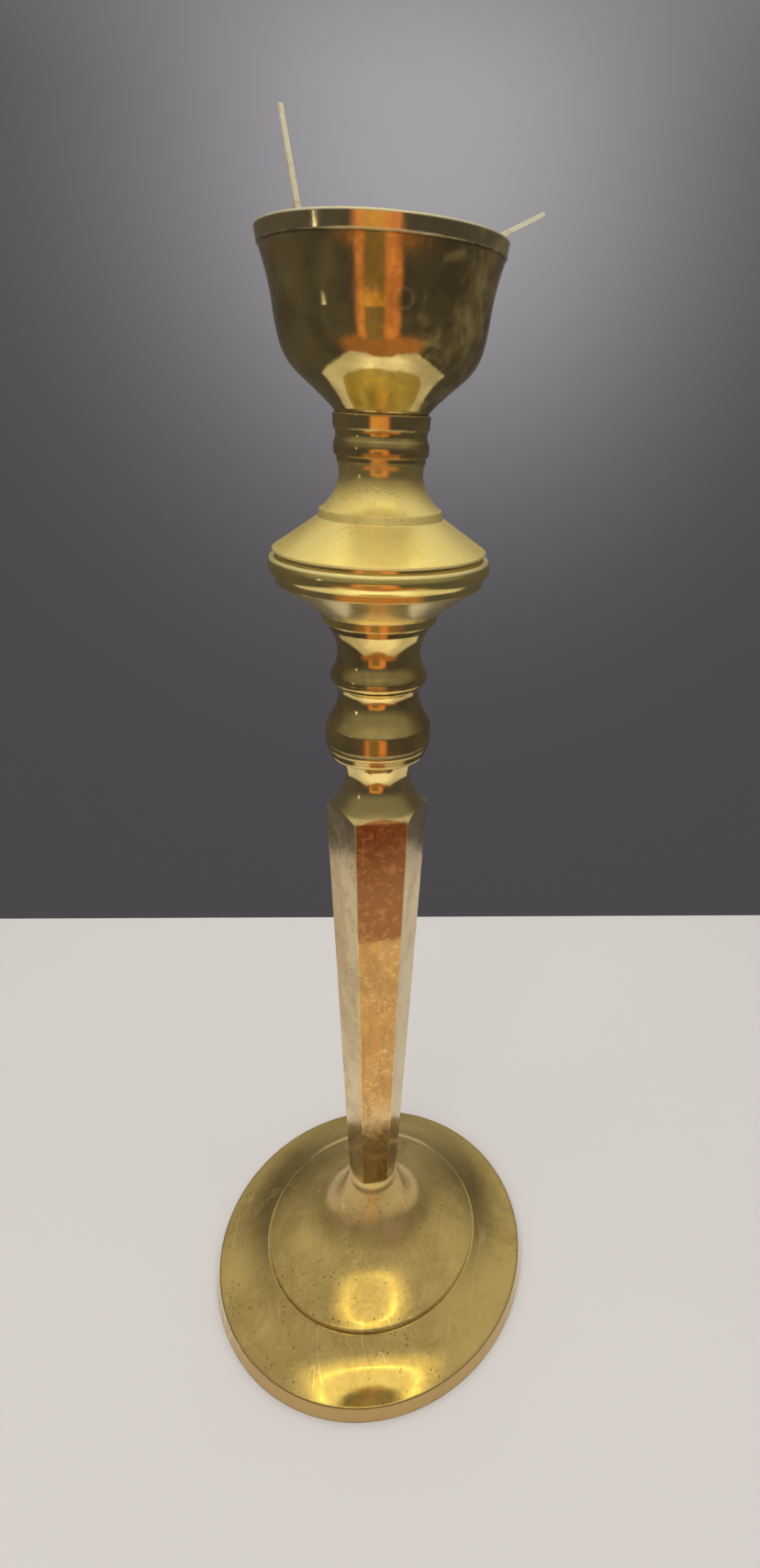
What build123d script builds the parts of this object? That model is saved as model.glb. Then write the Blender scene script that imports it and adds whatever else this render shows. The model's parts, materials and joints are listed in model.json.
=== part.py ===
"""Brass altar candlestick: hollow cast and turned sections clamped on one steel rod.

Origin at the centre of the foot's underside, +Z up, millimetres.  Every turned section is
drawn as a half section in (radius, height) and revolved about Z.
"""

import os
from math import cos, radians

from build123d import *

# ---- heights of the seats between the stacked sections ----
FOOT_SEAT_Z = 18.5
STEM_BOTTOM_Z = 70.0
STEM_TOP_Z = 361.0
SPOOL_BOTTOM_Z = 402.0
DISH_BOTTOM_Z = 435.0
COVER_LEDGE_Z = 463.8
COLLAR_BOTTOM_Z = 513.2
CUP_BOTTOM_Z = 535.5
CUP_FLOOR_Z = 540.5
RIM_Z = 609.5

# ---- driving radii ----
FOOT_R = 99.6
DOME_R = 66.5
KNOP_R = 54.6
RIM_R = 55.9
SPIGOT_R = 9.0
SPIGOT_H = 3.0
SPIGOT_GAP = 0.1

# ---- hexagonal stem: corner radius at its two ends, turned shoulder on top ----
STEM_CORNER_BOTTOM = 14.9
STEM_CORNER_TOP = 27.5
STEM_SHOULDER_Z = 331.0
STEM_TWIST_DEG = 5.8
STEM_NECK_R = 17.3

# ---- tie rod, nuts and washers ----
ROD_R = 4.0
ROD_BORE_R = 4.3
ROD_BOTTOM_Z = 3.0
ROD_TOP_Z = 550.5
WEB_UNDERSIDE_Z = 14.6
WASHER_T = 1.6
LOCK_WASHER_T = 2.0
LOCK_WASHER_GAP = 1.2
NUT_ACROSS_FLATS = 13.0
NUT_H = 6.5
THREAD_CLEARANCE = 0.02

# ---- saddle bracket in the cup, and the arm hinged on each of its uprights ----
SADDLE_PLANE_DEG = 15.0
STRAP_T = 2.0
STRAP_W = 11.0
STRAP_FLAT = 17.0
PIVOT_Z = 604.0
LEFT_REACH = 35.6
RIGHT_REACH = 32.8
LEFT_LEAN_DEG = 9.6
RIGHT_LEAN_DEG = 61.8
KNUCKLE_R = 3.0
EYE_R = 2.8
EYE_W = 4.2
EYE_GAP = 0.3
PIN_R = 1.2
PIN_RUNNING = 0.05
ARM_LENGTH = 50.0
ARM_ROOT_W = 4.8
ARM_TIP_W = 2.8
ARM_ROOT_T = 2.4
ARM_TIP_T = 2.0


class Outline:
    """A closed half section drawn point to point in (radius, height), then revolved."""

    def __init__(self, r, z):
        self.start = (r, z)
        self.here = (r, z)
        self.edges = []

    def line(self, *points):
        for point in points:
            self.edges.append(Line(flat(self.here), flat(point)))
            self.here = point
        return self

    def curve(self, *points):
        self.edges.append(Spline([flat(p) for p in (self.here, *points)]))
        self.here = points[-1]
        return self

    def arc(self, middle, end):
        self.edges.append(ThreePointArc(flat(self.here), flat(middle), flat(end)))
        self.here = end
        return self

    def turned(self):
        self.line(self.start)
        return revolve(make_face(Curve() + self.edges), axis=Axis.Z)


def flat(point):
    """A point of a half section in the XZ plane."""
    return (point[0], 0.0, point[1])


def rod_bore(z_low, z_high, r=ROD_BORE_R):
    """The clearance hole for the tie rod between two heights."""
    return Pos(0, 0, (z_low + z_high) / 2) * Cylinder(r, z_high - z_low)


def spigot(z):
    """Short locating boss on top of a section."""
    return Pos(0, 0, z + SPIGOT_H / 2) * Cylinder(SPIGOT_R, SPIGOT_H)


def spigot_recess(z):
    """Recess in a section's underside that drops over the spigot below."""
    depth = SPIGOT_H + 3 * SPIGOT_GAP
    return Pos(0, 0, z + depth / 2) * Cylinder(SPIGOT_R + SPIGOT_GAP, depth)


def foot():
    """Spreading foot: skirt, cove and the flat web that the rod pulls on."""
    body = (
        Outline(0, WEB_UNDERSIDE_Z)
        .line((66, WEB_UNDERSIDE_Z), (82, 8.4), (93, 5.2), (94.4, 0), (FOOT_R, 0))
        .line((99.4, 1.0), (98.1, 7.2))
        .arc((97.85, 8.05), (97.1, 8.5))
        .curve((91, 9.5), (82, 11.9), (73.5, 15.4), (67.6, FOOT_SEAT_Z))
        .line((0, FOOT_SEAT_Z))
        .turned()
    )
    ring = Outline(54, FOOT_SEAT_Z).line((61.8, FOOT_SEAT_Z), (61.8, 21.0), (54, 21.0)).turned()
    return body + ring - rod_bore(10, 25)


def dome():
    """Bell-shaped dome on the foot, sweeping up to the seat of the stem."""
    body = (
        Outline(0, FOOT_SEAT_Z)
        .line((DOME_R - 0.3, FOOT_SEAT_Z), (DOME_R, 18.9), (DOME_R, 20.0))
        .arc((DOME_R - 0.2, 20.6), (DOME_R - 0.8, 20.9))
        .curve((58, 23.8), (48, 27.2), (38, 31.2), (30, 36.8), (24, 44.5), (19, 54.5), (15.2, 63.5))
        .curve((13.2, 68.4), (13.0, STEM_BOTTOM_Z))
        .line((0, STEM_BOTTOM_Z))
        .turned()
    )
    hollow = (
        Outline(0, FOOT_SEAT_Z)
        .line((61.9, FOOT_SEAT_Z), (61.9, 21.1))
        .curve((54, 21.9), (44, 25.4), (34, 30.0), (26, 36.5), (19, 46.5), (13.5, 57.0))
        .line((0, 57.0))
        .turned()
    )
    return body + spigot(STEM_BOTTOM_Z) - hollow - rod_bore(50, 80)


def hex_prism_taper(z_low, z_high):
    """Six-sided taper with the corner radius growing evenly between the stem's two ends."""
    slope = (STEM_CORNER_TOP - STEM_CORNER_BOTTOM) / (STEM_SHOULDER_Z - STEM_BOTTOM_Z)
    faces = []
    for z in (z_low, z_high):
        radius = STEM_CORNER_BOTTOM + slope * (z - STEM_BOTTOM_Z)
        turn = Rot(0, 0, STEM_TWIST_DEG)
        faces.append(Pos(0, 0, z) * turn * RegularPolygon(radius, 6))
    return loft(Sketch() + faces)


def hex_stem():
    """Hexagonal stem: the turned shoulder cuts its six flats in scallops."""
    envelope = (
        Outline(0, STEM_BOTTOM_Z)
        .line((13.9, STEM_BOTTOM_Z), (15.3, 71.6), (40, 74), (40, 325))
        .line((29.5, 330.0), (STEM_CORNER_TOP, STEM_SHOULDER_Z))
        .curve((24.6, 332.9), (22.1, 336.4), (19.9, 340.3), (18.2, 344.2), (STEM_NECK_R, 348.6),
               (17.5, 352.4), (18.4, 355.8), (19.6, 358.6), (21.0, STEM_TOP_Z))
        .line((0, STEM_TOP_Z))
        .turned()
    )
    body = hex_prism_taper(STEM_BOTTOM_Z, STEM_TOP_Z) & envelope
    core = Outline(0, 84).line((8.0, 84), (13.5, 318), (11.0, 336), (11.0, 350), (0, 350)).turned()
    return body + spigot(STEM_TOP_Z) - core - spigot_recess(STEM_BOTTOM_Z) - rod_bore(60, 370)


def wide_ring():
    """Baluster ring: bead, wide plain band and a cove above it."""
    body = (
        Outline(0, STEM_TOP_Z)
        .line((21.4, STEM_TOP_Z), (24.4, 362.2))
        .arc((25.3, 363.0), (25.7, 364.2))
        .line((26.0, 366.9), (26.5, 367.1))
        .arc((27.2, 368.2), (27.1, 369.6))
        .line((26.7, 370.1), (27.8, 371.0), (27.5, 379.4))
        .arc((27.35, 380.4), (26.9, 381.2))
        .curve((25.3, 383.8), (23.2, 387.6), (21.7, 391.6), (21.0, 395.2), (21.2, 398.0), (22.1, 400.3),
               (23.4, SPOOL_BOTTOM_Z))
        .line((0, SPOOL_BOTTOM_Z))
        .turned()
    )
    core = Outline(0, 369).line((17, 369), (17, 380), (14, 392), (0, 392)).turned()
    return body + spigot(SPOOL_BOTTOM_Z) - core - spigot_recess(STEM_TOP_Z) - rod_bore(355, 410)


def spool():
    """Spool: rounded lip at the bottom, long cove and a plain fillet on top."""
    body = (
        Outline(0, SPOOL_BOTTOM_Z)
        .line((21.6, SPOOL_BOTTOM_Z), (22.9, 402.5))
        .arc((24.7, 403.9), (24.8, 406.2))
        .curve((24.3, 408.7), (23.0, 411.2), (21.95, 413.9), (21.4, 417.2), (21.45, 420.6), (22.05, 424.1),
               (23.25, 427.7), (25.0, 431.2))
        .line((25.2, 431.7), (25.0, DISH_BOTTOM_Z), (0, DISH_BOTTOM_Z))
        .turned()
    )
    core = Outline(0, 410).line((13, 410), (15, 424), (0, 424)).turned()
    return body + spigot(DISH_BOTTOM_Z) - core - spigot_recess(SPOOL_BOTTOM_Z) - rod_bore(395, 445)


def knop_dish():
    """Lower half of the knop: flange, shallow bowl and rounded rim."""
    body = (
        Outline(0, DISH_BOTTOM_Z)
        .line((28.3, DISH_BOTTOM_Z), (29.1, 435.8), (29.4, 440.0))
        .curve((34.2, 443.2), (40.4, 447.8), (46.2, 452.2), (50.1, 455.1))
        .line((51.1, 455.5), (51.7, 459.0), (52.6, 459.4))
        .arc((KNOP_R, 464.3), (53.6, 467.6))
        .arc((53.09, 468.25), (52.3, 468.5))
        .line((50.8, 468.3), (50.8, COVER_LEDGE_Z), (46.4, COVER_LEDGE_Z))
        .line((44.8, 457.4), (25.0, 442.6), (0, 442.6))
        .turned()
    )
    return body - spigot_recess(DISH_BOTTOM_Z) - rod_bore(430, 445)


def knop_cover():
    """Upper half of the knop: register ring, cone, stepped ring and flared neck."""
    body = (
        Outline(0, COVER_LEDGE_Z)
        .line((50.5, COVER_LEDGE_Z), (50.5, 470.4), (51.6, 470.4))
        .arc((52.3, 471.1), (51.9, 472.0))
        .line((31.3, 486.5), (30.5, 486.7), (29.7, 490.5))
        .arc((29.4, 490.9), (28.9, 491.1))
        .curve((25.4, 494.6), (22.6, 498.8), (20.8, 503.6), (20.2, 508.6), (20.9, 512.4))
        .line((20.9, COLLAR_BOTTOM_Z), (0, COLLAR_BOTTOM_Z))
        .turned()
    )
    hollow = (
        Outline(0, COVER_LEDGE_Z)
        .line((47.4, COVER_LEDGE_Z), (47.2, 470.4), (27.0, 485.0), (16.0, 496.0), (12.0, 503.0))
        .line((0, 503.0))
        .turned()
    )
    return body + spigot(COLLAR_BOTTOM_Z) - hollow - rod_bore(500, 520)


def ring_collar():
    """Collar under the cup: fillet, bead, cove and a plain top ring."""
    body = (
        Outline(0, COLLAR_BOTTOM_Z)
        .line((21.3, COLLAR_BOTTOM_Z), (21.3, 515.5), (22.3, 516.0))
        .arc((22.95, 519.3), (22.5, 522.6))
        .arc((21.8, 525.2), (22.4, 527.9))
        .line((22.9, 528.3), (23.2, 534.0))
        .arc((23.05, 534.8), (22.4, 535.2))
        .line((21.9, CUP_BOTTOM_Z), (0, CUP_BOTTOM_Z))
        .turned()
    )
    return body + spigot(CUP_BOTTOM_Z) - spigot_recess(COLLAR_BOTTOM_Z) - rod_bore(510, 545)


def cup():
    """Bell-shaped cup with a shallow bowl, an upright wall and a proud band at the rim."""
    body = (
        Outline(0, CUP_BOTTOM_Z)
        .line((22.3, CUP_BOTTOM_Z), (22.7, 536.4))
        .curve((28.4, 542.1), (35.1, 548.0), (40.9, 553.5), (44.9, 559.7), (47.1, 566.5), (48.8, 576.0))
        .curve((50.2, 586.0), (52.0, 594.0), (54.5, 602.4))
        .line((55.0, 602.7), (RIM_R, RIM_Z - 0.5))
        .arc((RIM_R - 0.386, RIM_Z - 0.134), (RIM_R - 0.9, RIM_Z))
        .line((53.8, RIM_Z))
        .arc((53.376, RIM_Z - 0.176), (53.2, RIM_Z - 0.6))
        .curve((51.4, 602.0), (49.4, 594.0), (47.7, 586.2), (46.3, 576.4))
        .curve((44.7, 567.4), (42.6, 561.0), (38.9, 555.3), (33.3, 550.0), (26.6, 544.0), (21.0, CUP_FLOOR_Z))
        .line((0, CUP_FLOOR_Z))
        .turned()
    )
    return body - spigot_recess(CUP_BOTTOM_Z) - rod_bore(530, 545)


def tie_rod():
    """Steel rod that draws the whole stack together, chamfered at both ends."""
    chamfer_size = 0.6
    return (
        Outline(0, ROD_BOTTOM_Z)
        .line((ROD_R - chamfer_size, ROD_BOTTOM_Z), (ROD_R, ROD_BOTTOM_Z + chamfer_size))
        .line((ROD_R, ROD_TOP_Z - chamfer_size), (ROD_R - chamfer_size, ROD_TOP_Z), (0, ROD_TOP_Z))
        .turned()
    )


def washer(z_low, outer_r, thickness=WASHER_T):
    """Flat washer standing on a height."""
    blank = Cylinder(outer_r, thickness) - Cylinder(ROD_BORE_R, thickness)
    return Pos(0, 0, z_low + thickness / 2) * blank


def foot_washer():
    """Large washer against the foot's web."""
    return washer(WEB_UNDERSIDE_Z - WASHER_T, 16.0)


def foot_lock_washer():
    """Split spring washer under the large washer."""
    z_low = WEB_UNDERSIDE_Z - WASHER_T - LOCK_WASHER_T
    split = Pos(5.5, 0, z_low + 1) * Rot(20, 0, 0) * Box(8, LOCK_WASHER_GAP, 6)
    return washer(z_low, 7.4, LOCK_WASHER_T) - split


def hex_blank(z_low, height):
    """Six-sided nut blank with its corners chamfered top and bottom."""
    corner_r = NUT_ACROSS_FLATS / 2 / cos(radians(30))
    prism = Pos(0, 0, z_low) * extrude(RegularPolygon(corner_r, 6), height)
    turned = (
        Outline(0, z_low)
        .line((corner_r - 0.8, z_low), (corner_r, z_low + 0.5), (corner_r, z_low + height - 0.5))
        .line((corner_r - 0.8, z_low + height), (0, z_low + height))
        .turned()
    )
    return prism & turned


def foot_nut():
    """Nut on the lower end of the rod, inside the hollow foot."""
    z_low = WEB_UNDERSIDE_Z - WASHER_T - LOCK_WASHER_T - NUT_H
    return hex_blank(z_low, NUT_H) - rod_bore(z_low - 1, z_low + NUT_H + 1, ROD_R + THREAD_CLEARANCE)


def cup_washer():
    """Washer between the saddle bracket and the cap nut."""
    return washer(CUP_FLOOR_Z + STRAP_T, 9.0)


def cup_nut():
    """Domed cap nut that closes the upper end of the rod."""
    z_low = CUP_FLOOR_Z + STRAP_T + WASHER_T
    cap = (
        Outline(0, z_low + 1)
        .line((5.9, z_low + 1), (5.9, z_low + NUT_H + 0.4))
        .arc((4.3, z_low + NUT_H + 3.9), (0.4, z_low + NUT_H + 5.6))
        .line((0, z_low + NUT_H + 5.6))
        .turned()
    )
    blind = rod_bore(z_low - 1, ROD_TOP_Z + 0.4, ROD_R + THREAD_CLEARANCE)
    return hex_blank(z_low, NUT_H) + cap - blind


def in_saddle_plane(shape):
    """Turns a shape drawn in the XZ plane into the bracket's own upright plane."""
    return Rot(0, 0, SADDLE_PLANE_DEG) * shape


def hinge_cylinder(reach, radius, width):
    """Cylinder along the hinge axis of one upright."""
    return Pos(reach, 0, PIVOT_Z) * Rot(90, 0, 0) * Cylinder(radius, width)


def upright(side, reach):
    """One half of the bent strap, from the rod out and up to its knuckle."""
    low = CUP_FLOOR_Z
    outer = [(0, low), (STRAP_FLAT, low), (STRAP_FLAT + 2.6, low + 1.6), (reach + 1.0, PIVOT_Z)]
    inner = [(reach - 1.0, PIVOT_Z), (STRAP_FLAT + 0.4, low + 3.4), (STRAP_FLAT - 1.4, low + STRAP_T)]
    corners = [(side * r, 0, z) for r, z in outer + inner + [(0, low + STRAP_T)]]
    face = make_face(Polyline(*corners, close=True))
    strap = extrude(face, amount=STRAP_W / 2, dir=(0, 1, 0), both=True)
    knuckle = hinge_cylinder(side * reach, KNUCKLE_R, STRAP_W)
    slot = hinge_cylinder(side * reach, KNUCKLE_R + EYE_GAP, EYE_W + 2 * EYE_GAP)
    pin_hole = hinge_cylinder(side * reach, PIN_R + THREAD_CLEARANCE, STRAP_W + 2)
    return strap + knuckle - slot - pin_hole


def saddle():
    """Two-armed saddle bracket: one bent strap clamped on the cup's floor."""
    strap = upright(-1, LEFT_REACH) + upright(1, RIGHT_REACH)
    return in_saddle_plane(strap - rod_bore(CUP_FLOOR_Z - 1, CUP_FLOOR_Z + STRAP_T + 1))


def pivot_pin(side, reach):
    """Rivet through a knuckle, with a low domed head on each end."""
    shank = hinge_cylinder(side * reach, PIN_R, STRAP_W)
    pin = shank
    for end in (-1, 1):
        head = Cone(2.1, 1.4, 0.9, align=(Align.CENTER, Align.CENTER, Align.MIN))
        turn = Rot(-90, 0, 0) if end > 0 else Rot(90, 0, 0)
        pin += Pos(side * reach, end * STRAP_W / 2, PIVOT_Z) * turn * head
    return in_saddle_plane(pin)


def arm(side, reach, lean_deg):
    """Flat tapering arm with an eye at its root, leaning outward from the cup."""
    root = EYE_W / 2
    thick = Polyline(
        (-ARM_ROOT_T / 2, 0, 0),
        (ARM_ROOT_T / 2, 0, 0),
        (ARM_TIP_T / 2, 0, ARM_LENGTH),
        (-ARM_TIP_T / 2, 0, ARM_LENGTH),
        close=True,
    )
    wide = Polyline(
        (0, -root, 0),
        (0, root, 0),
        (0, root, 6),
        (0, ARM_ROOT_W / 2, 7.5),
        (0, ARM_TIP_W / 2, ARM_LENGTH),
        (0, -ARM_TIP_W / 2, ARM_LENGTH),
        (0, -ARM_ROOT_W / 2, 7.5),
        (0, -root, 6),
        close=True,
    )
    bar = extrude(make_face(thick), amount=5, dir=(0, 1, 0), both=True)
    bar &= extrude(make_face(wide), amount=5, dir=(1, 0, 0), both=True)
    eye = Rot(90, 0, 0) * Cylinder(EYE_R, EYE_W)
    hole = Rot(90, 0, 0) * Cylinder(PIN_R + PIN_RUNNING, EYE_W + 1)
    blank = bar + eye - hole
    return in_saddle_plane(Pos(side * reach, 0, PIVOT_Z) * Rot(0, side * lean_deg, 0) * blank)


NODES = {
    "foot": foot(),
    "dome": dome(),
    "hex_stem": hex_stem(),
    "wide_ring": wide_ring(),
    "spool": spool(),
    "knop_dish": knop_dish(),
    "knop_cover": knop_cover(),
    "ring_collar": ring_collar(),
    "cup": cup(),
    "tie_rod": tie_rod(),
    "foot_washer": foot_washer(),
    "foot_lock_washer": foot_lock_washer(),
    "foot_nut": foot_nut(),
    "cup_washer": cup_washer(),
    "cup_nut": cup_nut(),
    "saddle": saddle(),
    "left_pin": pivot_pin(-1, LEFT_REACH),
    "right_pin": pivot_pin(1, RIGHT_REACH),
    "left_arm": arm(-1, LEFT_REACH, LEFT_LEAN_DEG),
    "right_arm": arm(1, RIGHT_REACH, RIGHT_LEAN_DEG),
}

os.makedirs("parts", exist_ok=True)
for node, shape in NODES.items():
    export_step(shape, f"parts/{node}.step")
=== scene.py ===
"""Looks of the brass altar candlestick: procedural brass, a pale table, soft light, the camera."""

import json
import math

import bpy
from mathutils import Matrix, Vector

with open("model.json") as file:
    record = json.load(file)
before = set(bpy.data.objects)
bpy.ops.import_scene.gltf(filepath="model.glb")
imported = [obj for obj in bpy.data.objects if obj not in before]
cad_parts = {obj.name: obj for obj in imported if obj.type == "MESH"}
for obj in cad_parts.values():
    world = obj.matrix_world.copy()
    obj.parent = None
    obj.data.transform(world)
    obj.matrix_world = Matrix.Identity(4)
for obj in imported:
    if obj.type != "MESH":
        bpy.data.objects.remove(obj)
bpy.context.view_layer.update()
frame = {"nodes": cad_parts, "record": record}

scene = bpy.context.scene
scene.view_settings.view_transform = "Standard"
scene.view_settings.look = "None"
scene.view_settings.exposure = 0.0


# ---------------------------------------------------------------- camera
FOCAL_SHARE = 0.50615      # focal length over the picture's long side
SENSOR_MM = 36.0
SHIFT_X, SHIFT_Y = -0.0595, -0.0780
PITCH_DEG, YAW_DEG, ROLL_DEG = 17.69, 7.11, -2.83
CAMERA_AT = Vector((0.0, -0.3933, 0.5395))
CLIP_NEAR, CLIP_FAR = 0.01, 20.0


def make_camera():
    pitch, yaw, roll = (math.radians(a) for a in (PITCH_DEG, YAW_DEG, ROLL_DEG))
    ahead = Vector((math.sin(yaw) * math.cos(pitch), math.cos(yaw) * math.cos(pitch), -math.sin(pitch)))
    level = Vector((math.cos(yaw), -math.sin(yaw), 0.0))
    down = ahead.cross(level)
    right = level * math.cos(roll) + down * math.sin(roll)
    up = level * math.sin(roll) - down * math.cos(roll)
    data = bpy.data.cameras.new("camera")
    data.sensor_fit = "AUTO"
    data.sensor_width = SENSOR_MM
    data.lens = SENSOR_MM * FOCAL_SHARE
    data.shift_x, data.shift_y = SHIFT_X, SHIFT_Y
    data.clip_start, data.clip_end = CLIP_NEAR, CLIP_FAR
    camera = bpy.data.objects.new("camera", data)
    turn = Matrix((right, up, -ahead)).transposed()
    camera.matrix_world = Matrix.Translation(CAMERA_AT) @ turn.to_4x4()
    scene.collection.objects.link(camera)
    scene.camera = camera


make_camera()


# ---------------------------------------------------------------- node helpers
class Nodes:
    """Short calls for building one material's node tree."""

    def __init__(self, name):
        self.material = bpy.data.materials.new(name)
        self.material.use_nodes = True
        self.tree = self.material.node_tree
        self.tree.nodes.clear()

    def add(self, kind, **props):
        node = self.tree.nodes.new("ShaderNode" + kind)
        for key, value in props.items():
            setattr(node, key, value)
        return node

    def put(self, value, socket):
        if hasattr(value, "is_output"):
            self.tree.links.new(value, socket)
        elif value is not None:
            socket.default_value = value

    def math(self, op, a, b=None):
        node = self.add("Math", operation=op)
        self.put(a, node.inputs[0])
        self.put(b, node.inputs[1])
        return node.outputs[0]

    def product(self, first, *others):
        for value in others:
            first = self.math("MULTIPLY", first, value)
        return first

    def vmath(self, op, a, b):
        node = self.add("VectorMath", operation=op)
        self.put(a, node.inputs[0])
        self.put(b, node.inputs[1])
        return node.outputs["Value" if op in ("DISTANCE", "DOT_PRODUCT") else "Vector"]

    def xyz(self, x, y, z):
        node = self.add("CombineXYZ")
        for value, socket in zip((x, y, z), node.inputs):
            self.put(value, socket)
        return node.outputs[0]

    def split(self, vector):
        node = self.add("SeparateXYZ")
        self.put(vector, node.inputs[0])
        return tuple(node.outputs)

    def ramp(self, value, low, high, out_low=0.0, out_high=1.0):
        """Smooth step from out_low to out_high as value goes from low to high."""
        node = self.add("MapRange", interpolation_type="SMOOTHSTEP", clamp=True)
        for name, v in (("Value", value), ("From Min", low), ("From Max", high),
                        ("To Min", out_low), ("To Max", out_high)):
            self.put(v, node.inputs[name])
        return node.outputs["Result"]

    def between(self, value, rise, fall):
        """1 between the two soft steps, 0 outside; each step is a (start, end) pair."""
        return self.product(self.ramp(value, *rise), self.ramp(value, *fall, 1.0, 0.0))

    def oval(self, a, b, middle, half_a, half_b):
        """Squared distance from an oval's middle: 1 on its outline."""
        across = self.math("DIVIDE", self.math("SUBTRACT", a, middle[0]), half_a)
        up = self.math("DIVIDE", self.math("SUBTRACT", b, middle[1]), half_b)
        return self.math("ADD", self.product(across, across), self.product(up, up))

    def mix(self, share, a, b):
        node = self.add("Mix", data_type="RGBA", clamp_factor=True)
        self.put(share, node.inputs[0])
        self.put(a if hasattr(a, "is_output") else (*a, 1.0), node.inputs[6])
        self.put(b if hasattr(b, "is_output") else (*b, 1.0), node.inputs[7])
        return node.outputs[2]

    def tint(self, colour, mask, share, towards):
        """Takes colour a share of the way towards another one, where the mask is 1."""
        return self.mix(self.product(mask, share), colour, towards)

    def noise(self, vector, scale, detail=3.0, rough=0.55, distort=0.0):
        node = self.add("TexNoise")
        self.put(vector, node.inputs["Vector"])
        node.inputs["Scale"].default_value = scale
        node.inputs["Detail"].default_value = detail
        node.inputs["Roughness"].default_value = rough
        node.inputs["Distortion"].default_value = distort
        return node.outputs["Fac"]

    def cells(self, vector, scale, feature="F1"):
        node = self.add("TexVoronoi", feature=feature)
        self.put(vector, node.inputs["Vector"])
        node.inputs["Scale"].default_value = scale
        node.inputs["Randomness"].default_value = 1.0
        return node.outputs["Distance"]

    def mapped(self, vector, scale, turn=(0, 0, 0)):
        node = self.add("Mapping")
        self.put(vector, node.inputs["Vector"])
        node.inputs["Scale"].default_value = scale
        node.inputs["Rotation"].default_value = turn
        return node.outputs[0]

    def surface(self, shader, kind="OutputMaterial"):
        self.put(shader.outputs[0], self.add(kind).inputs["Surface"])


DARK = (0.16, 0.105, 0.045)
PALE = (0.93, 0.79, 0.44)
EDGE_WEAR_HIGHLIGHT_SHARE = 0.85          # how far an edge goes towards its bright colour: paler from wear, and a painted highlight
EDGE_HIGHLIGHT_LESS_METAL = 0.3      # edges lose some metal so they look brighter: a painted highlight
EDGE_NOISE = 260.0


class Brass(Nodes):
    """Brass that has aged: tarnish, stains, specks, hairline scratches, and worn edges that also carry a
    painted highlight.
    """

    def __init__(self, name, seed):
        super().__init__(name)
        self.seed = seed
        place = self.add("TexCoord").outputs["Object"]
        self.place = self.vmath("ADD", place, (seed, seed * 0.37, seed * 0.73))
        self.x, self.y, self.z = self.split(place)
        self.r = self.math("SQRT", self.math("ADD", self.product(self.x, self.x),
                                             self.product(self.y, self.y)))

    def clouds(self, big, mid, share, low, high):
        """Cloudy tarnish: large patches with a ragged outline."""
        return self.ramp(self.math("ADD", big, self.product(mid, share)), low, high)

    def lathe(self, pitch):
        """Fine rings left by turning: noise that changes with radius and height only."""
        k = 1.0 / pitch
        line = self.xyz(self.product(self.r, k), self.product(self.z, k), self.seed)
        return self.noise(line, 1.0, 4.0, 0.7)

    def scratches(self, scale, length, turn, width, keep, upright=False):
        """Hairlines: the zero line of a noise stretched along one direction, broken up."""
        stretch = (scale, scale, scale / length) if upright else (scale, scale / length, scale)
        vector = self.mapped(self.place, stretch, turn)
        line = self.math("ABSOLUTE", self.math("SUBTRACT", self.noise(vector, 1.0, 1.0, 0.4), 0.5))
        thin = self.ramp(line, 0.0, width, 1.0, 0.0)
        patch = self.ramp(self.noise(self.place, scale * 0.35, 2.0), keep, keep + 0.08)
        return self.product(thin, patch)

    def specks(self, scale, size, keep):
        """Small dark pits and fly specks, in patches."""
        spot = self.ramp(self.cells(self.place, scale), size * 0.6, size, 1.0, 0.0)
        patch = self.ramp(self.noise(self.place, scale * 0.06, 2.0), keep, keep + 0.06)
        return self.product(spot, patch)

    def finish(self, colour, rough, bumps, edge_wear_highlight_colour, edge_mm, metallic, anisotropic=0.0):
        """Joins colour, roughness and bump to the shader; edges are rounded, worn paler and given a painted
        highlight.
        """
        shader = self.add("BsdfPrincipled")
        bevel = self.add("Bevel", samples=4)
        bevel.inputs["Radius"].default_value = edge_mm / 1000
        normal = bevel.outputs[0]
        sharp = self.vmath("DOT_PRODUCT", normal, self.add("NewGeometry").outputs["Normal"])
        broken = self.ramp(self.noise(self.place, EDGE_NOISE, 3.0), 0.35, 0.6)
        # edges are painted paler and less metallic: partly wear, partly a painted highlight
        worn = self.product(self.ramp(sharp, 0.86, 0.99, 1.0, 0.0), self.product(broken, EDGE_WEAR_HIGHLIGHT_SHARE))
        colour = self.mix(worn, colour, edge_wear_highlight_colour)
        metallic = self.math("SUBTRACT", metallic, self.product(worn, EDGE_HIGHLIGHT_LESS_METAL))
        for height, strength, distance in bumps:
            bump = self.add("Bump")
            bump.inputs["Strength"].default_value = strength
            bump.inputs["Distance"].default_value = distance
            self.put(height, bump.inputs["Height"])
            self.put(normal, bump.inputs["Normal"])
            normal = bump.outputs[0]
        self.put(colour, shader.inputs["Base Color"])
        self.put(rough, shader.inputs["Roughness"])
        self.put(normal, shader.inputs["Normal"])
        self.put(metallic, shader.inputs["Metallic"])
        shader.inputs["Anisotropic"].default_value = anisotropic
        if anisotropic:
            tangent = self.add("Tangent", direction_type="RADIAL", axis="Z")
            self.put(tangent.outputs[0], shader.inputs["Tangent"])
        self.surface(shader)
        return self.material


# ---------------------------------------------------------------- materials
# Steps along a height or a radius are (start, end) pairs in metres.
SKIRT_SHADE_Z = (0.0088, 0.0080)         # the foot's upright skirt begins under this and is painted darker, a painted shade
FLARE_R = (0.034, 0.022)           # copper flare under the stem
MATTE_R = (0.064, 0.032)           # the dome's duller middle


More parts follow.
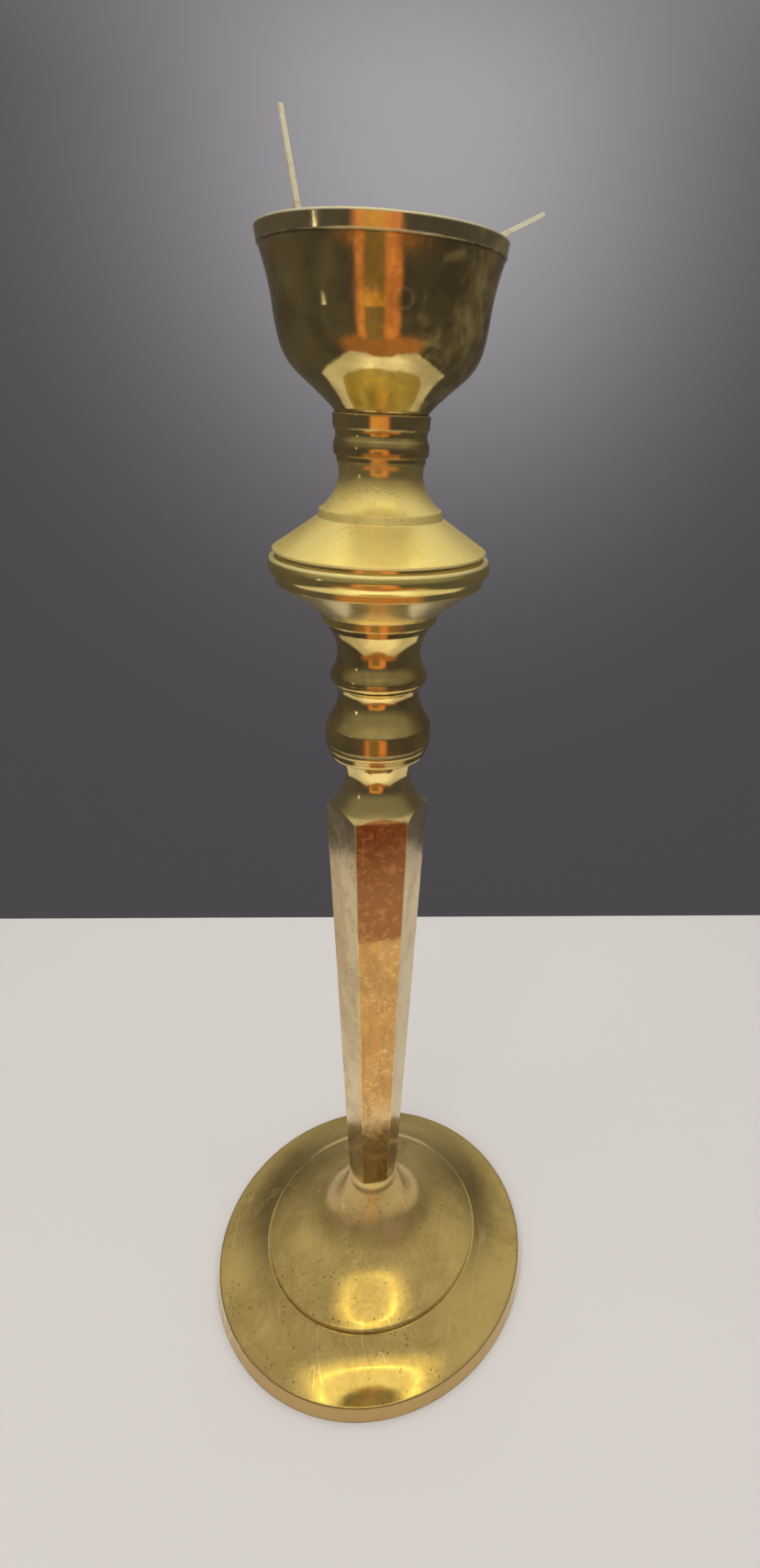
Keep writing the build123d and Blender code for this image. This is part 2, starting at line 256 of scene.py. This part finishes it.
def foot_brass():
    """Satin olive brass with a patina; smudged at the left and behind, pitted in front, with painted shade on
    the upright skirt.
    """
    m = Brass("foot_brass", 3.1)
    olive, tarnish, clean = (0.61, 0.455, 0.155), (0.45, 0.315, 0.105), (0.72, 0.56, 0.23)
    brown, copper, pit, shade = (0.27, 0.19, 0.085), (0.82, 0.50, 0.25), (0.06, 0.04, 0.02), (0.33, 0.215, 0.09)
    big = m.noise(m.place, 16.0, 4.0, 0.6, 0.4)
    mid = m.noise(m.place, 70.0, 5.0, 0.65, 0.6)
    fine = m.noise(m.place, 420.0, 3.0, 0.6)
    colour = m.mix(m.clouds(big, mid, 0.4, 0.55, 0.82), olive, tarnish)
    colour = m.mix(m.ramp(fine, 0.35, 0.7, 0.0, 0.25), colour, clean)
    handled = m.math("MAXIMUM", m.ramp(m.x, -0.035, -0.080), m.ramp(m.y, 0.03, 0.09, 0.0, 0.45))
    smudge = m.product(m.ramp(m.noise(m.place, 38.0, 4.0, 0.62, 0.9), 0.50, 0.62), handled)
    colour = m.tint(colour, smudge, 0.50, brown)
    flare = m.product(m.ramp(m.r, *FLARE_R), m.ramp(mid, 0.42, 0.62))
    colour = m.tint(colour, flare, 0.6, copper)
    colour = m.tint(colour, m.specks(250.0, 0.15, 0.46), 0.85, pit)
    # painted shade: the upright skirt is painted darker
    colour = m.tint(colour, m.ramp(m.z, *SKIRT_SHADE_Z), 0.85, shade)
    scratch = m.math("MAXIMUM", m.scratches(60.0, 9.0, (0, 0, 0.6), 0.010, 0.54),
                     m.scratches(75.0, 8.0, (0, 0, -0.9), 0.008, 0.56))
    colour = m.tint(colour, scratch, 0.4, PALE)
    matte = m.ramp(m.r, *MATTE_R)
    rough = m.math("ADD", m.ramp(mid, 0.3, 0.7, 0.07, 0.12), m.product(smudge, 0.14))
    rough = m.math("ADD", rough, m.product(matte, 0.13))
    metallic = m.math("SUBTRACT", 0.80, m.product(smudge, 0.25))
    metallic = m.math("SUBTRACT", metallic, m.product(matte, 0.20))
    bumps = [(m.lathe(0.0007), 0.04, 0.0001), (fine, 0.05, 0.0002), (scratch, -0.3, 0.0001)]
    return m.finish(colour, rough, bumps, PALE, 0.6, metallic)


def turned_brass(name, seed, rough_low, rough_high, clean, tarnish, lathe_strength):
    """Polished brass with faint turning rings."""
    m = Brass(name, seed)
    big = m.noise(m.place, 28.0, 4.0, 0.6, 0.5)
    mid = m.noise(m.place, 120.0, 4.0, 0.6, 0.5)
    fine = m.noise(m.place, 600.0, 3.0, 0.6)
    colour = m.mix(m.clouds(big, mid, 0.5, 0.62, 0.95), clean, tarnish)
    colour = m.tint(colour, m.specks(420.0, 0.14, 0.54), 0.7, DARK)
    colour = m.tint(colour, m.scratches(110.0, 10.0, (0.3, 0.2, 0.5), 0.012, 0.55), 0.4, PALE)
    rough = m.ramp(m.math("ADD", mid, m.product(fine, 0.3)), 0.4, 0.9, rough_low, rough_high)
    bumps = [(m.lathe(0.0005), lathe_strength, 0.0002), (fine, 0.02, 0.0002)]
    return m.finish(colour, rough, bumps, PALE, 0.8, 0.96, anisotropic=0.2)


DISH_FOOT_Z, DISH_TOP_Z = (0.4396, 0.4404), (0.4554, 0.4548)     # the dish under the knop's rim
RIM_HIGHLIGHT_LINE_Z = ((0.4668, 0.4673), (0.4682, 0.4686))                # a line round the rim, rubbed and painted paler as a highlight
CONE_HIGHLIGHT_LINE_Z = ((0.4702, 0.4707), (0.4712, 0.4717))               # and round the cone's lower edge
CONE_Z = (0.4700, 0.4712)
NECK_Z = (0.497, 0.508)                                          # above this the neck is polished


def knop_brass():
    """Satin on the cone and on the dish underneath, polished on the rim and the neck."""
    m = Brass("knop_brass", 4.3)
    yellow, tarnish, clean = (0.96, 0.77, 0.26), (0.82, 0.62, 0.18), (0.98, 0.83, 0.36)
    neck_gold, dish_grey, bright = (0.76, 0.57, 0.20), (0.72, 0.60, 0.34), (0.93, 0.82, 0.42)
    big = m.noise(m.place, 22.0, 4.0, 0.6, 0.5)
    mid = m.noise(m.place, 120.0, 4.0, 0.6, 0.5)
    fine = m.noise(m.place, 700.0, 3.0, 0.6)
    cone = m.product(m.ramp(m.z, *CONE_Z), m.ramp(m.z, *NECK_Z, 1.0, 0.15))
    dish = m.product(m.ramp(m.z, *DISH_TOP_Z), m.ramp(m.z, *DISH_FOOT_Z))
    satin = m.math("MAXIMUM", cone, m.product(dish, 0.3))
    # pale, less metallic lines round the rim and the cone's lower edge: partly rubbed wear, partly a painted
    # highlight
    rubbed_and_highlight = m.math("MAXIMUM", m.between(m.z, *CONE_HIGHLIGHT_LINE_Z), m.between(m.z, *RIM_HIGHLIGHT_LINE_Z))
    colour = m.mix(m.clouds(big, mid, 0.4, 0.60, 0.92), yellow, tarnish)
    colour = m.mix(m.ramp(fine, 0.40, 0.72, 0.0, 0.30), colour, clean)
    colour = m.mix(m.ramp(m.z, *NECK_Z, 0.0, 0.6), colour, neck_gold)
    colour = m.tint(colour, dish, 0.55, dish_grey)
    colour = m.tint(colour, rubbed_and_highlight, 0.6, bright)
    colour = m.tint(colour, m.specks(380.0, 0.15, 0.48), 0.75, DARK)
    colour = m.tint(colour, m.scratches(110.0, 10.0, (0.3, 0.2, 0.5), 0.010, 0.56), 0.4, PALE)
    rough = m.math("ADD", m.ramp(mid, 0.3, 0.7, 0.10, 0.17), m.product(satin, 0.20))
    less_metal = m.math("MAXIMUM", m.product(satin, 0.34), m.product(rubbed_and_highlight, 0.35))
    bumps = [(m.lathe(0.0005), 0.08, 0.0002), (fine, 0.03, 0.0002)]
    return m.finish(colour, rough, bumps, PALE, 0.8, m.math("SUBTRACT", 0.94, less_metal))


FRONT_FLAT_DEG = -84.2             # the way the stem's front flat faces
FLAT_SOFT = 0.0003                 # half width of the colour change at the flat's edge
COPPER_REFLECTION_Z = (0.262, 0.267)          # the front flat carries a painted copper reflection above this
COPPER_REFLECTION_TOP_Z = (0.334, 0.331)
FRONT_LOW_REFLECTION_Z = (0.172, 0.150)        # the front flat's painted reflection turns paler below this
SHOULDER_Z = (0.3305, 0.3325)      # the turned shoulder begins here


def stem_brass():
    """Flats left with stains and crackle; the front one is painted orange, partly tarnish and partly a painted
    reflection of warm things in front, with a painted copper reflection on top.
    """
    m = Brass("stem_brass", 7.7)
    side_flat, front_tarnish_and_reflection, stain = (0.74, 0.60, 0.36), (0.50, 0.275, 0.080), (0.46, 0.30, 0.14)
    gilt_gold, front_low_reflection, crack = (0.86, 0.62, 0.28), (0.60, 0.44, 0.21), (0.28, 0.14, 0.05)
    copper_reflection_dark, copper_reflection_light = (0.22, 0.080, 0.027), (0.36, 0.155, 0.06)
    side_wear, front_wear, shoulder = (0.56, 0.40, 0.20), (0.36, 0.20, 0.07), (0.80, 0.64, 0.26)
    big = m.noise(m.mapped(m.place, (1, 1, 0.45)), 42.0, 4.0, 0.6, 0.6)
    mid = m.noise(m.place, 190.0, 5.0, 0.7, 0.8)
    fine = m.noise(m.place, 800.0, 3.0, 0.65)
    # a point is on the front flat when its distance along that flat's normal is that of the flat
    out = math.radians(FRONT_FLAT_DEG)
    along = m.math("ADD", m.product(m.x, math.cos(out)), m.product(m.y, math.sin(out)))
    corner = m.product(m.r, math.cos(math.pi / 6))
    front = m.ramp(m.math("SUBTRACT", along, corner), -FLAT_SOFT, FLAT_SOFT)
    # the front flat is painted orange: partly tarnish, partly a painted reflection
    colour = m.mix(front, side_flat, front_tarnish_and_reflection)
    colour = m.mix(m.ramp(big, 0.48, 0.66, 0.0, 0.45), colour, stain)
    gilt = m.product(m.ramp(mid, 0.50, 0.66), m.ramp(big, 0.38, 0.60))
    colour = m.tint(colour, gilt, 0.6, gilt_gold)
    # painted reflection: near the foot the front flat is painted paler instead of orange
    low_reflection = m.ramp(m.math("ADD", m.z, m.product(big, 0.05)), *FRONT_LOW_REFLECTION_Z)
    colour = m.tint(colour, m.product(low_reflection, front), 0.75, front_low_reflection)
    # painted reflection: the front flat's upper part is painted copper-brown
    copper = m.ramp(m.math("ADD", m.z, m.product(mid, 0.016)), *COPPER_REFLECTION_Z)
    copper = m.product(copper, front, m.ramp(m.z, *COPPER_REFLECTION_TOP_Z))
    colour = m.tint(colour, copper, 0.85, m.mix(m.ramp(mid, 0.46, 0.66), copper_reflection_dark, copper_reflection_light))
    not_copper_reflection = m.math("SUBTRACT", 1.0, copper)
    crackle = m.ramp(m.cells(m.place, 520.0, "DISTANCE_TO_EDGE"), 0.02, 0.10, 1.0, 0.0)
    patch = m.product(m.ramp(m.noise(m.place, 60.0, 2.0), 0.48, 0.58), not_copper_reflection)
    colour = m.tint(colour, m.product(crackle, patch), 0.70, crack)
    streaks = m.noise(m.mapped(m.place, (1, 1, 0.3)), 85.0, 5.0, 0.7, 0.6)
    wear = m.product(m.ramp(streaks, 0.49, 0.62), 0.7)
    colour = m.tint(colour, wear, not_copper_reflection, m.mix(front, side_wear, front_wear))
    turned = m.ramp(m.z, *SHOULDER_Z)
    colour = m.tint(colour, turned, 0.85, shoulder)
    colour = m.tint(colour, m.specks(330.0, 0.14, 0.53), 0.8, DARK)
    scratch = m.scratches(150.0, 22.0, (0.06, 0.05, 0.1), 0.010, 0.56, upright=True)
    colour = m.tint(colour, scratch, 0.3, PALE)
    rough = m.ramp(m.math("ADD", mid, m.product(big, 0.4)), 0.5, 0.95, 0.08, 0.18)
    rough = m.math("ADD", rough, m.product(copper, 0.06))
    metallic = m.math("ADD", 0.86, m.product(turned, 0.08))
    bumps = [(mid, 0.05, 0.0003), (fine, 0.03, 0.0002), (scratch, -0.15, 0.0001)]
    return m.finish(colour, rough, bumps, PALE, 0.7, metallic)


BAND_Z = (0.6020, 0.6026)                              # the cup's proud rim band
GROOVE_Z = ((0.6012, 0.6020), (0.6024, 0.6028))        # darker in the groove under the band
# the top edge above this is paler from rubbing and carries a painted highlight
LIP_HIGHLIGHT_Z = (0.6083, 0.6087)


def cup_brass():
    """Darker brass with water marks and haze, cleaner on the rim band; the top edge is paler from rubbing and
    carries a painted highlight.
    """
    m = Brass("cup_brass", 11.3)
    wall, tarnish, cleaner = (0.77, 0.60, 0.225), (0.50, 0.38, 0.155), (0.84, 0.70, 0.38)
    rubbed_and_highlight, groove_dark, water = (0.97, 0.90, 0.62), (0.10, 0.07, 0.035), (0.86, 0.72, 0.42)
    big = m.noise(m.place, 24.0, 4.0, 0.6, 0.7)
    mid = m.noise(m.place, 110.0, 5.0, 0.65, 0.6)
    fine = m.noise(m.place, 650.0, 3.0, 0.6)
    colour = m.mix(m.clouds(big, mid, 0.5, 0.62, 0.95), wall, tarnish)
    colour = m.tint(colour, m.ramp(m.z, *BAND_Z), 0.55, cleaner)
    # the top edge is painted paler and less metallic: rubbed wear and a painted highlight
    lip_highlight = m.ramp(m.z, *LIP_HIGHLIGHT_Z)
    colour = m.tint(colour, lip_highlight, 0.9, rubbed_and_highlight)
    # the groove under the band is painted darker
    colour = m.tint(colour, m.between(m.z, *GROOVE_Z), 0.6, groove_dark)
    ring = m.between(m.cells(m.place, 62.0), (0.16, 0.24), (0.24, 0.30))
    ring = m.product(ring, m.ramp(m.noise(m.place, 30.0, 2.0), 0.52, 0.62))
    colour = m.tint(colour, ring, 0.35, water)
    colour = m.tint(colour, m.specks(360.0, 0.13, 0.54), 0.8, DARK)
    haze = m.product(m.ramp(m.noise(m.place, 36.0, 5.0, 0.7, 0.8), 0.48, 0.66),
                     m.ramp(m.x, -0.01, 0.03, 0.15, 1.0))
    rough = m.math("ADD", m.ramp(mid, 0.35, 0.7, 0.06, 0.14), m.product(ring, 0.12))
    rough = m.math("ADD", rough, m.product(haze, 0.10))
    rough = m.math("ADD", rough, m.product(lip_highlight, 0.25))
    less_metal = m.math("MAXIMUM", m.product(lip_highlight, 0.25), m.product(haze, 0.20))
    bumps = [(m.lathe(0.0009), 0.03, 0.0002), (fine, 0.015, 0.0002), (mid, 0.06, 0.0007)]
    return m.finish(colour, rough, bumps, PALE, 1.0, m.math("SUBTRACT", 0.96, less_metal))


def arm_brass():
    """Pale, dull, worn wire."""
    m = Brass("arm_brass", 5.2)
    mid = m.noise(m.place, 240.0, 4.0, 0.65, 0.6)
    fine = m.noise(m.place, 1200.0, 3.0, 0.6)
    colour = m.mix(m.ramp(mid, 0.50, 0.72), (0.98, 0.95, 0.76), (0.86, 0.70, 0.46))
    colour = m.tint(colour, m.specks(900.0, 0.16, 0.5), 0.7, DARK)
    rough = m.ramp(mid, 0.3, 0.7, 0.34, 0.48)
    return m.finish(colour, rough, [(fine, 0.05, 0.0002)], PALE, 0.3, 0.15)


def zinc_steel():
    """Dull plated steel of the rod, its nut and washers."""
    m = Brass("zinc_steel", 9.4)
    mid = m.noise(m.place, 180.0, 4.0, 0.65, 0.6)
    fine = m.noise(m.place, 900.0, 3.0, 0.6)
    colour = m.mix(m.ramp(mid, 0.4, 0.7), (0.58, 0.57, 0.55), (0.36, 0.33, 0.29))
    rough = m.ramp(mid, 0.3, 0.7, 0.28, 0.45)
    return m.finish(colour, rough, [(fine, 0.06, 0.0002)], (0.75, 0.74, 0.72), 0.3, 1.0)


materials = {
    "foot_brass": foot_brass(),
    "stem_brass": stem_brass(),
    "turned_brass": turned_brass("turned_brass", 1.7, 0.07, 0.17,
                                 clean=(0.80, 0.62, 0.23), tarnish=(0.56, 0.41, 0.15), lathe_strength=0.06),
    "knop_brass": knop_brass(),
    "cup_brass": cup_brass(),
    "fitting_brass": turned_brass("fitting_brass", 6.1, 0.20, 0.34,
                                  clean=(0.76, 0.60, 0.25), tarnish=(0.48, 0.35, 0.14), lathe_strength=0.04),
    "arm_brass": arm_brass(),
    "zinc_steel": zinc_steel(),
}

slot_of = {row["node"]: row["material_slot"] for row in frame["record"]["subparts"]}
for node, obj in frame["nodes"].items():
    obj.data.materials.clear()
    obj.data.materials.append(materials[slot_of[node]])


# ---------------------------------------------------------------- table
FLOOR_HALF = 3.0
FLOOR_BACK_Y, FLOOR_BACK_SLOPE = 0.360, -0.0359     # the pale floor ends on this line
TABLE_COLOUR = (0.72, 0.71, 0.755)
TABLE_ROUGH = 0.6
REFLECTED_COLOUR, POOL_COLOUR = (0.72, 0.70, 0.70), (1.0, 0.95, 0.86)
POOL_AT = (0.0, -0.22, 0.0)                         # middle of the pool of light
POOL_R, POOL_GLOW = (0.12, 0.38), 0.55
REFLECTED_Z = 0.0003                                # just clear of the floor
NOTCH_X, NOTCH_HALF = -0.01, 0.17                   # where someone stands at the front edge
NOTCH_Y, NOTCH_DEPTH = -0.49, 0.085


def matt(m, colour):
    shader = m.add("BsdfPrincipled")
    shader.inputs["Base Color"].default_value = (*colour, 1.0)
    shader.inputs["Roughness"].default_value = TABLE_ROUGH
    m.surface(shader)
    return shader


def table_plain():
    m = Nodes("table_white")
    matt(m, TABLE_COLOUR)
    return m.material


def table_lit():
    """The table top as the brass sees it: brighter in a pool of light in front of the foot."""
    m = Nodes("table_lit")
    shader = matt(m, REFLECTED_COLOUR)
    away = m.vmath("DISTANCE", m.add("TexCoord").outputs["Object"], POOL_AT)
    shader.inputs["Emission Color"].default_value = (*POOL_COLOUR, 1.0)
    m.put(m.ramp(away, *POOL_R, POOL_GLOW, 0.0), shader.inputs["Emission Strength"])
    return m.material


def sheet(name, corners, material, reflected):
    """A flat stage piece: seen only in reflections, or seen everywhere but in them."""
    mesh = bpy.data.meshes.new(name)
    mesh.from_pydata(corners, [], [tuple(range(len(corners)))])
    mesh.materials.append(material)
    obj = bpy.data.objects.new(name, mesh)
    scene.collection.objects.link(obj)
    obj.visible_glossy = reflected
    if reflected:
        obj.visible_camera = obj.visible_diffuse = obj.visible_shadow = False
        obj.visible_transmission = False


floor_corners = [(-FLOOR_HALF, -FLOOR_HALF, 0), (FLOOR_HALF, -FLOOR_HALF, 0),
                 (FLOOR_HALF, FLOOR_BACK_Y + FLOOR_HALF * FLOOR_BACK_SLOPE, 0),
                 (-FLOOR_HALF, FLOOR_BACK_Y - FLOOR_HALF * FLOOR_BACK_SLOPE, 0)]
sheet("floor", floor_corners, table_plain(), reflected=False)
notch = [(NOTCH_X + NOTCH_HALF * t, NOTCH_Y + NOTCH_DEPTH * math.sqrt(1 - t * t))
         for t in (-1, -0.9, -0.7, -0.4, 0, 0.4, 0.7, 0.9, 1)]
table_edge = [(-0.44, -0.48), *notch, (0.48, -0.50), (0.48, 0.34), (-0.44, 0.37)]
sheet("floor_reflected", [(x, y, REFLECTED_Z) for x, y in table_edge], table_lit(), reflected=True)


# ---------------------------------------------------------------- lamps
def hang(name, data, at, target, seen):
    """Puts a lamp in the scene, aimed at a point; the camera never sees it directly."""
    light = bpy.data.objects.new(name, data)
    light.location = at
    light.rotation_mode = "QUATERNION"
    light.rotation_quaternion = (Vector(target) - Vector(at)).to_track_quat("-Z", "Y")
    light.visible_camera = False
    light.visible_glossy = seen
    scene.collection.objects.link(light)


def area(name, at, target, size, power, colour, seen):
    data = bpy.data.lights.new(name, "AREA")
    data.shape = "RECTANGLE"
    data.size, data.size_y = size
    data.energy = power
    data.color = colour
    hang(name, data, at, target, seen)


def knop_spot(at, target, power):
    """A narrow soft spot that lifts the satin knop and isn't seen in it."""
    data = bpy.data.lights.new("knop_spot", "SPOT")
    data.energy = power
    data.color = (1.0, 0.97, 0.88)
    data.spot_size = math.radians(6.5)
    data.spot_blend = 0.8
    data.shadow_soft_size = 0.12
    hang("knop_spot", data, at, target, seen=False)


def ring_lamp(at, radius, width, strength, colour):
    """A flat glowing ring overhead, seen in the brass and not by the camera."""
    turns = 96
    points, faces = [], []
    for i in range(turns):
        a = 2 * math.pi * i / turns
        for r in (radius - width / 2, radius + width / 2):
            points.append((at[0] + r * math.cos(a), at[1] + r * math.sin(a), at[2]))
    for i in range(turns):
        j = (i + 1) % turns
        faces.append((2 * i, 2 * j, 2 * j + 1, 2 * i + 1))
    mesh = bpy.data.meshes.new("ring_lamp")
    mesh.from_pydata(points, [], faces)
    m = Nodes("ring_lamp")
    glow = m.add("Emission")
    glow.inputs["Color"].default_value = (*colour, 1.0)
    glow.inputs["Strength"].default_value = strength
    m.surface(glow)
    mesh.materials.append(m.material)
    ring = bpy.data.objects.new("ring_lamp", mesh)
    ring.visible_camera = False
    scene.collection.objects.link(ring)


area("soft_top", (0.0, 0.20, 1.5), (0, 0.05, 0), (1.4, 1.4), 10.5, (1.0, 0.97, 0.95), seen=False)
area("soft_front", (-0.35, -1.25, 0.95), (0, 0, 0.45), (0.8, 0.8), 4.0, (1.0, 0.97, 0.93), seen=False)
knop_spot((-0.12, -1.15, 1.05), (0.0, -0.03, 0.485), 96.0)
area("window_left", (-0.95, -0.55, 0.52), (0, 0, 0.45), (0.03, 0.06), 0.035, (1.0, 0.98, 0.95), seen=True)
ring_lamp((-0.01, -0.03, 0.95), 0.205, 0.016, 5.0, (1.0, 0.90, 0.34))


# ---------------------------------------------------------------- room
# Heights are the upward part of a direction, -1 to 1; azimuths are radians from straight ahead.
WALL_GREY, UPPER_GREY, PATCH_GREY = (0.070, 0.065, 0.070), (0.58, 0.56, 0.50), (0.400, 0.390, 0.408)
PATCH_AT, PATCH_HALF = (0.05, 0.29), 0.30           # azimuth and elevation of the lit patch
PATCH_BELOW, PATCH_ABOVE = 0.35, 0.175              # it reaches further down than up
ROOM_GREY, LAMP_WHITE, UNDER_GREY = (0.22, 0.208, 0.175), (1.60, 1.46, 0.86), (0.052, 0.048, 0.055)
FLOOR_COPPER, GLINT = (0.42, 0.165, 0.055), (0.95, 0.45, 0.10)
WARM_MIDDLE, WARM_ROUNDING = -0.085, 0.55
WARM_LOW, WARM_HIGH = (-0.52, -0.44), (-0.04, 0.06)
WARM_SOFT = 0.05
WARM_BARS = ((-0.48, -0.31, (0.86, 0.33, 0.13)), (-0.31, 0.03, (0.27, 0.175, 0.07)),
             (0.03, 0.31, (0.86, 0.32, 0.12)))
GLINT_AT, GLINT_HALF = (-0.15, -0.10), (0.26, 0.08)


class WorldNodes(Nodes):
    def __init__(self, name):
        data = bpy.data.worlds.new(name)
        data.use_nodes = True
        scene.world = data
        self.tree = data.node_tree
        self.tree.nodes.clear()


def wall_behind(w, x, y, z):
    """The wall behind, lit from above: a soft patch, wider below its middle than above it."""
    grey = w.mix(w.ramp(z, 0.26, 0.80), WALL_GREY, UPPER_GREY)
    elevation = w.math("ARCSINE", z)
    over = w.math("GREATER_THAN", elevation, PATCH_AT[1])
    reach = w.math("ADD", w.product(over, PATCH_ABOVE - PATCH_BELOW), PATCH_BELOW)
    fall = w.oval(w.math("ARCTAN2", x, y), elevation, PATCH_AT, PATCH_HALF, reach)
    patch = w.math("EXPONENT", w.product(fall, -1.0))
    return w.tint(grey, patch, 0.9, PATCH_GREY)


def room_in_front(w, way, x, y, z, wall):
    """What only the brass sees: the room in front, the lit ceiling and a warm floor."""
    wobble = w.math("SUBTRACT", w.noise(way, 9.0, 4.0, 0.65, 0.5), 0.5)
    azimuth = w.math("ADD", w.math("ARCTAN2", x, w.product(y, -1.0)), w.product(wobble, 0.16))
    ripple = w.math("SUBTRACT", w.noise(way, 16.0, 3.0, 0.6, 0.4), 0.5)
    uneven = w.math("ADD", z, w.product(ripple, 0.22))
    front = w.ramp(y, 0.10, -0.25)
    room = w.product(w.between(z, (-0.04, 0.34), (0.45, 0.80)), w.ramp(y, 0.50, -0.60))
    colour = w.mix(room, wall, ROOM_GREY)
    colour = w.mix(w.ramp(z, 0.945, 0.978), colour, LAMP_WHITE)
    colour = w.tint(colour, front, w.ramp(z, 0.04, -0.08), UNDER_GREY)
    low = w.product(w.ramp(uneven, -0.34, -0.46), w.ramp(w.math("ABSOLUTE", azimuth), 1.0, 0.7))
    colour = w.tint(colour, front, low, FLOOR_COPPER)
    aside = w.math("SUBTRACT", azimuth, WARM_MIDDLE)
    rounded = w.product(w.product(aside, aside), WARM_ROUNDING)
    tall = w.product(w.ramp(w.math("SUBTRACT", uneven, rounded), *WARM_LOW),
                     w.ramp(w.math("ADD", uneven, rounded), *WARM_HIGH, 1.0, 0.0))
    spots = w.product(w.ramp(w.noise(way, 22.0, 3.0, 0.6), 0.42, 0.62), 0.55)
    for left, right, glow in WARM_BARS:
        wide = w.between(azimuth, (left - WARM_SOFT, left + WARM_SOFT), (right - WARM_SOFT, right + WARM_SOFT))
        shade = w.mix(spots, glow, tuple(0.5 * v for v in glow))
        colour = w.tint(colour, wide, tall, shade)
    apart = w.oval(azimuth, uneven, GLINT_AT, *GLINT_HALF)
    return w.mix(w.ramp(apart, 1.2, 0.3, 0.0, 0.8), colour, GLINT)


def studio():
    """A dim grey room; the camera sees only its plain wall, the brass mirrors the rest too."""
    w = WorldNodes("studio")
    way = w.add("TexCoord").outputs["Generated"]
    x, y, z = w.split(way)
    wall = wall_behind(w, x, y, z)
    room = room_in_front(w, way, x, y, z, wall)
    background = w.add("Background")
    w.put(w.mix(w.add("LightPath").outputs["Is Camera Ray"], room, wall), background.inputs["Color"])
    w.surface(background, "OutputWorld")


studio()
